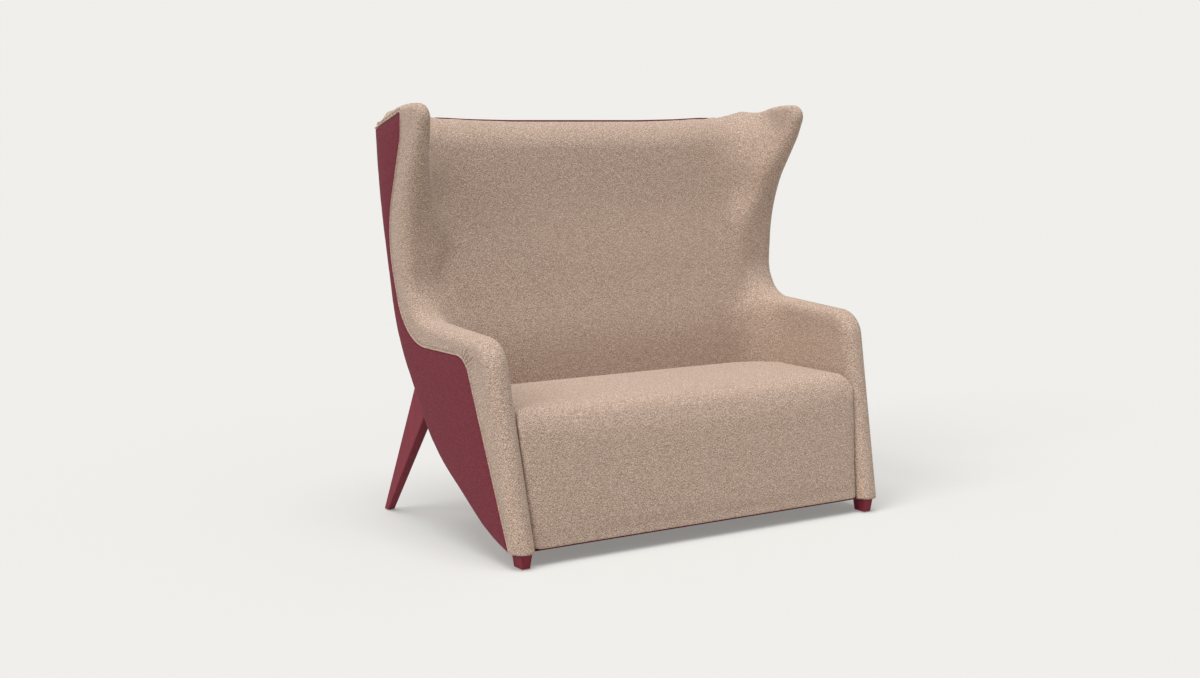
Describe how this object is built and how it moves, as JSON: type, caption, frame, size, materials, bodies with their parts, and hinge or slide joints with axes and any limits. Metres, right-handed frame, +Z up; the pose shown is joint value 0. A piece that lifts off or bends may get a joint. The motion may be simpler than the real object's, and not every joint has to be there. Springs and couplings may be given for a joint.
{
  "type": "high back settee",
  "caption": "Two-tone upholstered settee with a high raked back, wings that run down into the arms, a wedge seat, splayed tapered rear legs and small front feet.",
  "frame": {"origin": "on the floor, in the middle of the footprint's bounding box", "axes": "+X to the right of someone who faces the settee's front, +Y to its back, +Z up; the front faces -Y"},
  "size_m": [1.4556, 0.9056, 1.3033],
  "materials": {
    "beige_fabric": "woven melange wool-type upholstery",
    "burgundy_fabric": "woven upholstery",
    "burgundy_lacquer": "satin lacquer",
    "foam": "cut polyurethane foam",
    "plywood": "raw birch plywood",
    "beech": "raw planed beech",
    "webbing": "woven elastic webbing",
    "steel": "zinc plated",
    "nylon": "moulded"
  },
  "bodies": {
    "root": {"wing_arm_cover_left": "beige_fabric", "wing_arm_cover_right": "beige_fabric", "back_cover": "beige_fabric", "seat_cover": "beige_fabric", "seam_welt_left": "beige_fabric", "seam_welt_right": "beige_fabric", "side_panel_left": "burgundy_fabric", "side_panel_right": "burgundy_fabric", "shell_cover": "burgundy_fabric", "rear_leg_left": "burgundy_lacquer", "rear_leg_right": "burgundy_lacquer", "front_foot_left": "burgundy_lacquer", "front_foot_right": "burgundy_lacquer", "wing_arm_foam_left": "foam", "wing_arm_foam_right": "foam", "back_foam": "foam", "seat_foam": "foam", "side_board_left": "plywood", "side_board_right": "plywood", "shell_board": "plywood", "seat_front_board": "plywood", "back_rib_left": "plywood", "back_rib_centre": "plywood", "back_rib_right": "plywood", "top_rail": "beech", "lumbar_rail": "beech", "lower_back_rail": "beech", "seat_base_rail": "beech", "seat_rear_rail": "beech", "seat_side_rail_left": "beech", "seat_side_rail_right": "beech", "foot_block_left": "beech", "foot_block_right": "beech", "corner_blocks": "beech", "seat_webbing": "webbing", "seat_cross_webbing": "webbing", "back_webbing": "webbing", "leg_bolts": "steel", "leg_washers": "steel", "leg_tee_nuts": "steel", "foot_studs": "steel", "rail_screws": "steel", "front_glide_left": "nylon", "front_glide_right": "nylon", "rear_glide_left": "nylon", "rear_glide_right": "nylon"}
  },
  "joints": []
}
